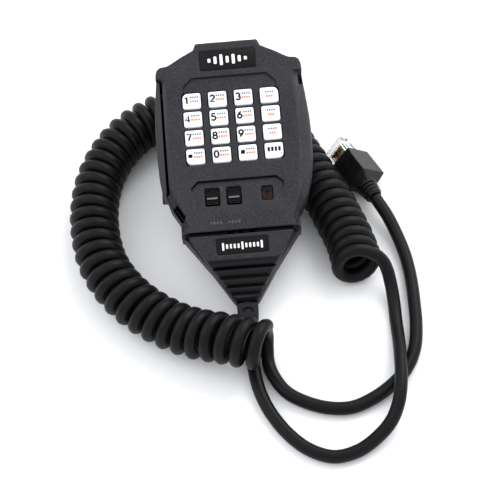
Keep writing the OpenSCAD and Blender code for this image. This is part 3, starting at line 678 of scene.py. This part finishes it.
def in_gap_painted_black_as_shade(p, normal):
    """Walls and floors of the key wells, the switch and window slots, the strap slot and the groove, below the face,
    and the gaps between the ribs, all painted black as shade.
    """
    if in_rib_field(p, normal):
        return p.z < rib_z(p.y) - 0.35
    if p.z < 6 or p.z > 14.1 and normal.z > 0.7:
        return False
    for x in KEY_COLUMNS:
        for y in KEY_ROWS:
            if abs(p.x - x) < KEY_W / 2 + 0.62 and abs(p.y - y) < KEY_H / 2 + 0.62 and p.z < 13.9:
                return True
    for x in (*SLIDERS.values(), WINDOW_X):
        if abs(p.x - x) < 3.3 and abs(p.y - PANEL_Y) < 4.1 and (p.z < 13 or p.z < 14.2 and normal.z < 0.6):
            return True
    in_strap = STRAP.inverted() @ p
    if abs(in_strap.x) < 1.15 and abs(in_strap.y) < 3.7:
        return p.z > 3 and normal.z < 0.8 or 3 < p.z < 9.6
    return abs(p.y - GROOVE_Y) < 1 and p.z < 14.2


def on_panel_edge(p, normal):
    """Upper wall of the switch panel, which lies in shadow."""
    return -10 < p.y < -5.2 and abs(p.x) < 19.8 and 13 < p.z < 14.95 and (normal.y < -0.25 or normal.z < 0.9)


# Upper wall of the keypad's recess, painted darker as shade.
def on_keypad_edge_shade(p, normal):
    return 34 < p.y < 41.2 and abs(p.x) < 20.4 and 13.5 < p.z < 14.95 and normal.z < 0.85


front = soften("front_cover", front_cover(), 0.3, 4, 0.3)
# Material 1 is painted shade on the ribs and the keypad's edge; material 2 is painted black shade in the gaps and on
# the panel's upper wall.
finish_piece("housing_front", front, MIC, "root", [HOUSING, HOUSING_PAINTED_SHADE, BLACK], ["front_cover"],
             [(1, in_rib_field), (1, on_keypad_edge_shade), (2, on_panel_edge), (2, in_gap_painted_black_as_shade)])


# ---------------------------------------------------------------- rear cover
def cad_copy(node):
    """A CAD node's mesh in millimetres, in the microphone's own frame."""
    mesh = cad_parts[node].data.copy()
    mesh.transform((TO_METRES @ MIC).inverted())
    return mesh


def rear_cover():
    """The rear shell with finger grooves across its flat back."""
    shell = soften("rear_cover", cad_copy("rear_cover"), 0.35, 1, 1)
    grooves = [loft((rounded(0, y, 17, 1.2, 0.55), -12.7), (rounded(0, y, 17, 1.2, 0.55), -11.5))
               for y in (-12, -8.5, -5, -1.5, 2, 5.5)]
    return soften("rear_cover", merge_and_cut("rear_cover", [link("rear", shell)], grooves), 0.3, 4, 0.3)


finish_piece("housing_rear", rear_cover(), MIC, "root", [REAR], ["rear_cover"])


# ---------------------------------------------------------------- plates and window
def painted(name, *groups):
    """One mesh of groups of solids, each group with its own material number."""
    mesh = to_mesh(name, [solid for group in groups for solid in group])
    index = 0
    for number, group in enumerate(groups):
        for _, faces in group:
            for _ in faces:
                mesh.polygons[index].material_index = number
                index += 1
    return mesh


def tile(outline, z0, z1, edge=0.22):
    """Plate with a rounded upper edge."""
    return loft((outline, z0), (outline, z1 - edge), (inset(outline, edge * 0.3), z1 - edge * 0.3),
                (inset(outline, edge), z1))


def mark(x, y, w, h, z):
    """Small printed bar with round corners."""
    outline = rounded(x, y, w, h, min(w, h) * 0.3, 3)
    return loft((outline, z - 0.05), (outline, z + 0.04))


PLATE_Z = FRONT_T - 0.3
LEVELS = [1.8, 3.4, 5, 3, 4.4, 2.8, 1.6]
name_marks = [mark(-7.8 + 2.6 * i, 48, 1.3, h, PLATE_Z) for i, h in enumerate(LEVELS)]
finish_piece("name_plate_blank", painted("name_plate", [tile(rounded(0, 48, 23.6, 8.6, 0.7), 14.2, PLATE_Z)],
                                         name_marks),
             MIC, "root", [PLATE, PRINT_WHITE], ["name_plate"])
CHIN = MIC @ Matrix.Translation((0, -34.3, 11.4)) @ Matrix.Rotation(math.radians(9), 4, "X")
chin_marks = [mark(-8 + 1.6 * i, 0, 0.85, 3.2 if i % 5 == 0 else 1.9, 1.7) for i in range(11)]
finish_piece("chin_plate_blank", painted("chin_plate", [tile(rounded(0, 0, 21, 6.2, 0.5), 1.2, 1.7)], chin_marks),
             CHIN, "root", [PLATE, PRINT_WHITE], ["chin_plate"])

legend = [mark(x + 1.4 * i, -24.6, 0.85, h, FRONT_T) for x in (-12.2, -4.6) for i, h in enumerate((0.8, 1.4, 1.1, 1.4))]
finish_piece("legend_marks", painted("legend", legend), MIC, "root", [LEGEND])
window_body = [block(WINDOW_X - 2.2, WINDOW_X + 2.2, PANEL_Y - 2.8, PANEL_Y + 2.8, 9.9, 13.6),
               tile(rounded(WINDOW_X, PANEL_Y, 4.4, 5.6, 0.3), 13.5, 14)]
window_mask = [mark(WINDOW_X, PANEL_Y + 1.6, 4.2, 1.9, 14), mark(WINDOW_X, PANEL_Y + 0.2, 1.2, 2.6, 14)]
finish_piece("window_lens", painted("window", window_body, window_mask), MIC, "root",
             [WINDOW, BLACK], ["indicator_window"])


# ---------------------------------------------------------------- keys
def arc(cx, cy, rx, ry, start, end, steps=14):
    return [(cx + rx * math.cos(math.radians(start + (end - start) * k / steps)),
             cy + ry * math.sin(math.radians(start + (end - start) * k / steps))) for k in range(steps + 1)]


def stroke(points, width, z):
    """Flat printed line through points."""
    rings = []
    for i, (x, y) in enumerate(points):
        x0, y0 = points[max(i - 1, 0)]
        x1, y1 = points[min(i + 1, len(points) - 1)]
        size = math.hypot(x1 - x0, y1 - y0)
        nx, ny = -(y1 - y0) / size * width / 2, (x1 - x0) / size * width / 2
        rings.append([(x + nx, y + ny, z - 0.05), (x - nx, y - ny, z - 0.05), (x - nx, y - ny, z + 0.04),
                      (x + nx, y + ny, z + 0.04)])
    return skin(rings)


DIGITS = {
    "1": [[(0.25, 1.15), (0.6, 1.5), (0.6, 0)]],
    "2": [arc(0.5, 1.06, 0.42, 0.44, 165, -35) + [(0.08, 0.02), (0.95, 0.02)]],
    "3": [arc(0.45, 1.12, 0.4, 0.38, 150, -85), arc(0.45, 0.4, 0.45, 0.4, 85, -150)],
    "4": [[(0.95, 0.42), (0.03, 0.42), (0.68, 1.5), (0.68, 0)]],
    "5": [[(0.88, 1.5), (0.2, 1.5), (0.16, 0.8)] + arc(0.45, 0.46, 0.46, 0.46, 120, -150)],
    "6": [[(0.8, 1.5), (0.35, 1.05)] + arc(0.5, 0.45, 0.43, 0.45, 165, -195)],
    "7": [[(0.06, 1.48), (0.92, 1.48), (0.38, 0)]],
    "8": [arc(0.5, 1.13, 0.36, 0.36, -90, 270), arc(0.5, 0.39, 0.44, 0.39, 90, -270)],
    "9": [[(0.2, 0), (0.65, 0.45)] + arc(0.5, 1.05, 0.43, 0.45, -15, 345)],
    "0": [arc(0.5, 0.75, 0.42, 0.75, 90, -270, 22)],
    "star": [[(0.1, 0.5), (0.9, 1)], [(0.1, 1), (0.9, 0.5)], [(0.5, 0.35), (0.5, 1.15)]],
    "hash": [[(0.35, 0.3), (0.45, 1.2)], [(0.65, 0.3), (0.75, 1.2)], [(0.1, 0.55), (0.95, 0.55)],
             [(0.15, 0.95), (1, 0.95)]],
}
KEY_FLANGE_Z = FRONT_T - 3.1
KEY_TOP_Z = FRONT_T + 0.4
PRINT_Z = KEY_TOP_Z
DIGIT_AT = (-3.2, -1.2)
DIGIT_SIZE = 2.05
DIGIT_STROKE = 0.78
LAYOUT = ["1", "2", "3", "a", "4", "5", "6", "b", "7", "8", "9", "c", "star", "0", "hash", "d"]
SMALL, LARGE = 0.9, 2.3
CORNER_RADII = {"1": [SMALL, SMALL, SMALL, LARGE], "a": [SMALL, SMALL, LARGE, SMALL],
                "star": [LARGE, SMALL, SMALL, SMALL], "d": [SMALL, LARGE, SMALL, SMALL]}


def key_cap(label, x, y):
    """A key with its flange, and its print: a numeral, or marks without meaning. The flange is painted black as shade.
    """
    outline = rounded(x, y, KEY_W, KEY_H, CORNER_RADII.get(label, SMALL), 5)
    body = loft((outline, KEY_FLANGE_Z), (outline, KEY_TOP_Z - 0.45), (inset(outline, 0.08), KEY_TOP_Z - 0.25),
                (inset(outline, 0.25), KEY_TOP_Z - 0.09), (inset(outline, 0.55), KEY_TOP_Z))
    flange_outline = rounded(x, y, KEY_W + 1.4, KEY_H + 1, 1.2, 3)
    flange = loft((flange_outline, KEY_FLANGE_Z), (flange_outline, KEY_FLANGE_Z + 0.8))
    black, grey, orange = [], [], []
    if label in DIGITS:
        ox, oy = x + DIGIT_AT[0], y + DIGIT_AT[1]
        black = [stroke([(ox + DIGIT_SIZE * px, oy + DIGIT_SIZE * py * 0.95) for px, py in line],
                        DIGIT_STROKE, PRINT_Z)
                 for line in DIGITS[label]]
        grey = [mark(x - 0.35 + 0.98 * i, y + 1.5, 0.72, 0.85, PRINT_Z) for i in range(4)]
        orange = [mark(x - 0.35 + 0.98 * i, y - 0.3, 0.74, 0.95, PRINT_Z) for i in range(4)]
    elif label == "d":
        black = [mark(x - 2.2 + 1.5 * i, y + 0.5, 1.05, 2, PRINT_Z) for i in range(4)]
    else:
        grey = [mark(x - 1.35 + 0.98 * i, y + 1.3, 0.72, 0.85, PRINT_Z) for i in range(4)]
        orange = [mark(x - 0.98 + 0.98 * i, y - 0.7, 0.76, 0.95, PRINT_Z) for i in range(3)]
    # The white flange gets the print's black, as painted shade in the gap round the key.
    return painted("key", [body], black + [flange], grey, orange)


for number, label in enumerate(LAYOUT):
    node = "key_" + label
    cap = key_cap(label, KEY_COLUMNS[number % 4], KEY_ROWS[number // 4])
    finish_piece(node + "_cap", cap, MIC, node, [KEY_WHITE, PRINT_AND_SHADE_BLACK, PRINT_GREY, PRINT_ORANGE],
                 [node])


# ---------------------------------------------------------------- slide switches
def slider_knob(x):
    """Knob with a light bar across its middle and finger ridges below it, on a skirt that fills its slot."""
    y = PANEL_Y - SLIDER_TRAVEL / 2
    w, h = SLIDER_W, SLIDER_H
    skirt = block(x - w / 2 - 0.3, x + w / 2 + 0.3, y - h / 2 - SLIDER_TRAVEL - 0.4, y + h / 2 + SLIDER_TRAVEL + 0.4,
                  11.2, 11.8)
    knob = tile(rounded(x, y, w, h, 0.4), 11.7, 13.5, 0.3)
    ridges = [tile(rounded(x, y + dy, w - 0.9, 0.45, 0.2, 3), 13.4, 14, 0.15) for dy in (-1.9, -1.2)]
    cap = tile(rounded(x, y + 0.55, w - 0.7, 1.3, 0.3), 13.4, 14.1, 0.2)
    bar = tile(rounded(x, y + 0.55, w - 1.3, 0.65, 0.2, 3), 14.05, 14.4, 0.15)
    scallop = [stroke([(x + px, y - 2.1 + py) for px, py in arc(0, 0, 1.7, 1.1, 160, 20)], 0.28, 13.56)]
    return painted("slider", [skirt, knob, cap] + ridges, [bar], scallop)


for node, x in SLIDERS.items():
    finish_piece(node + "_knob", slider_knob(x), MIC, node, [BLACK, SLIDER_MARK, SLIDER_MARK], [node])


# ---------------------------------------------------------------- push-to-talk bar
BAR_OUTLINE = [(-29.8, -9), (-31.6, -9), (-32.5, -3), (-33, 8), (-33.1, 20), (-32.4, 32), (-31.4, 41), (-29.8, 41)]


def talk_bar():
    """Bar with a chamfer along its upper edge and grip notches down its side."""
    bar = loft((BAR_OUTLINE, -3.6), (BAR_OUTLINE, 12.2))
    nose = block(-29.9, -28.4, 18, 22, -1, 3)
    chamfer = moved(block(-20, 2, -20, 60, 0, 10),
                    Matrix.Translation((-29.8, 0, 12)) @ Matrix.Rotation(math.radians(-42), 4, "Y"))
    notches = [block(-34.2, -32.65, 2 + 4 * i, 2.8 + 4 * i, -10, 8.6) for i in range(9)]
    return soften("bar", combine("bar", [bar, nose], [chamfer] + notches), 0.22, 3, 0.3)


finish_piece("talk_bar", talk_bar(), MIC, "ptt_bar", [BAR], ["ptt_bar"])


# ---------------------------------------------------------------- buttons in the crown
def top_button(x):
    """Milky button with a domed end, on a flange inside the housing."""
    rings = []
    for y, w, h, r in ((51.6, 9.8, 5.8, 2), (52.6, 9.8, 5.8, 2), (52.62, 8.6, 5, 2), (58.4, 8.6, 5, 2),
                       (59.5, 8.3, 4.7, 1.9), (60.2, 7.4, 3.9, 1.7), (60.6, 5.9, 2.6, 1.2), (60.7, 4.4, 1.4, 0.6)):
        rings.append([(px, y, pz) for px, pz in rounded(x, TOP_BUTTON_Z, w, h, r, 5)])
    return to_mesh("button", [skin(rings)])


for node, x in (("up_button", 6), ("down_button", -6)):
    finish_piece(node + "_dome", top_button(x), MIC, node, [MILKY], [node])


# ---------------------------------------------------------------- hang-up stud
def turned(profile, x, y, count=48):
    """Lathe-turned solid: profile gives radius and height, from one end on the axis to the other."""
    return loft(*[(circle(x, y, max(r, 0.02), count), z) for r, z in profile])


STUD_Y = 22
BACK_Z = -12
STUD_PROFILE = [(6, BACK_Z), (6, BACK_Z - 0.7), (5.7, BACK_Z - 1), (4.3, BACK_Z - 1.05), (4, BACK_Z - 1.4),
                (4, BACK_Z - 5.2), (4.3, BACK_Z - 5.5), (6.6, BACK_Z - 5.55), (7, BACK_Z - 5.95),
                (7, BACK_Z - 7.4), (6.6, BACK_Z - 7.9), (6, BACK_Z - 8), (3.4, BACK_Z - 8), (3.1, BACK_Z - 7.8),
                (3, BACK_Z - 5.2)]
finish_piece("stud", to_mesh("stud", [turned(STUD_PROFILE, 0, STUD_Y)]), MIC, "root", [STEEL],
             ["hang_up_stud"])


# ---------------------------------------------------------------- strain relief
def relief():
    """Sleeve that tapers towards the cord, with an arched slot in its upper side."""
    sleeve = []
    for y, w, t in ((-56.75, 9, 8), (-58, 9, 8), (-61, 8.7, 7.8), (-63.4, 8.3, 7.5), (-64, 7.8, 7)):
        sleeve.append([(px, y, pz) for px, pz in rounded(0, 0, w, t, 1.7, 5)])
    neck = moved(post(0, 0, RELIEF_T / 2, 0, 6.6), Matrix.Translation((0, -57, 0))
                 @ Matrix.Rotation(math.radians(-90), 4, "X"))
    bore = moved(post(0, 0, CORD_D / 2, -1, 20), Matrix.Translation((0, RELIEF_END_Y, 0))
                 @ Matrix.Rotation(math.radians(-90), 4, "X"))
    arch = [(x, -60.2 + y) for x, y in arc(0, 0, 2.3, 1.5, 0, 180, 16)] + [(-2.3, -61)]
    arch += [(-1.3, -61)] + [(x, -60.2 + y) for x, y in arc(0, 0, 1.3, 0.55, 180, 0, 12)] + [(1.3, -61), (2.3, -61)]
    slot = loft((arch, 2.95), (arch, 6))
    return soften("relief", combine("relief", [skin(sleeve), neck], [bore, slot]), 0.2, 3, 0.4)


finish_piece("relief_sleeve", relief(), MIC, "root", [SOFT_RUBBER], ["strain_relief"])

# ---------------------------------------------------------------- plug
HOOD_SECTION = [(-6.4, 3), (-6.4, -4.39), (-1.29, -9.5), (6.8, -9.5), (6.8, 6.5), (-2.9, 6.5)]
ALONG = Matrix.Rotation(math.radians(-90), 4, "X")


def hood():
    """Angular hood with a stepped upper face and a ribbed collar round the cord."""
    rings = [[(x * k, y, z * k) for x, z in HOOD_SECTION] for y, k in ((0, 0.6), (3, 1), (HOOD_L, 1))]
    collar = [moved(post(0, 0, 3.5, -COLLAR_L, 1), ALONG)]
    collar += [moved(post(0, 0, 4.7 - 0.25 * i, -1.7 * i - 1.1, -1.7 * i), ALONG) for i in range(4)]
    bore = moved(post(0, 0, CORD_D / 2, -COLLAR_L - 1, 4), ALONG)
    pocket = block(-5.89, 5.89, 3.3, 30, -3.35, 3.35)
    latch_room = block(-3.6, 3.6, 6, 30, -7, -2)
    step = moved(block(-20, 20, 0, 20, 0, 20),
                 Matrix.Translation((0, HOOD_L - 4.5, 6.5)) @ Matrix.Rotation(math.radians(-17), 4, "X"))
    groove = loft((rounded(0, 9.5, 7.5, 1, 0.45), 5.9), (rounded(0, 9.5, 7.5, 1, 0.45), 8))
    return soften("hood", combine("hood", [skin(rings)] + collar, [bore, pocket, latch_room, step, groove]), 0.24, 9, 0.35)


def plug_shell():
    """Clear plug body, hollow where the wires run and slotted over its contacts."""
    nose = HOOD_L + PLUG_OUT
    slots = [block((i - 3.5) * 1.02 - 0.3, (i - 3.5) * 1.02 + 0.3, nose - 6.6, nose - 1.4, 0.8, 6) for i in range(8)]
    room = block(-4.64, 4.64, nose - 22.5, nose - 1.4, -1.2, 1.2)
    return combine("plug", [block(-5.84, 5.84, nose - 21.5, nose, -3.3, 3.3)], [room] + slots)


def plug_wires():
    """Eight wires side by side, each a material of its own, and the cord's end in the collar."""
    groups = [[moved(post((i - 3.5) * 1.02, 0, 0.5, 3.3, HOOD_L + PLUG_OUT - 1.7), ALONG)] for i in range(8)]
    cord_end = [moved(post(0, 0, CORD_D / 2 - 0.1, -COLLAR_L + 0.2, 3.3), ALONG)]
    return painted("wires", *groups, cord_end)


def contact_blades():
    """Eight short blades, each standing in its slot at the nose and reaching into its wire."""
    nose = HOOD_L + PLUG_OUT
    return to_mesh("contacts", [block((i - 3.5) * 1.02 - 0.14, (i - 3.5) * 1.02 + 0.14, nose - 3.4, nose - 1.6, 0.2, 2.7)
                                for i in range(8)])


finish_piece("hood_moulded", hood(), PLUG, "root", [HOOD_RUBBER], ["plug_hood"])
finish_piece("plug_shell", plug_shell(), PLUG, "root", [CLEAR], ["plug_body"])
WIRE_ORDER = ["black", "red", "orange", "brown", "white", "grey", "yellow", "green"]
finish_piece("wire_set", plug_wires(), PLUG, "root",
             [WIRES[name] for name in WIRE_ORDER] + [CORD_RUBBER], ["plug_wires"])
finish_piece("contact_blades", contact_blades(), PLUG, "root", [GOLD], ["plug_contacts"])

# ---------------------------------------------------------------- CAD nodes that show as they are
for node, material in {
    "keypad_mat": SOFT_RUBBER, "circuit_board": BOARD, "board_parts": CHIPS, "board_screws": STEEL,
    "slide_switch_cases": STEEL, "ptt_pin": STEEL, "ptt_switch": CHIPS, "top_switches": CHIPS,
    "microphone_capsule": STEEL, "capsule_boot": SOFT_RUBBER, "stud_screw": STEEL, "case_screws": STEEL,
    "cable_clamp": STEEL, "inner_wires": CORD_RUBBER, "plug_latch": CLEAR,
}.items():
    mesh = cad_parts[node].data
    mesh.materials.clear()
    mesh.materials.append(material)

cord.data.materials.append(CORD_RUBBER)
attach(cord, "root")
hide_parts("mic_lead", "curly_coil", "plug_lead")
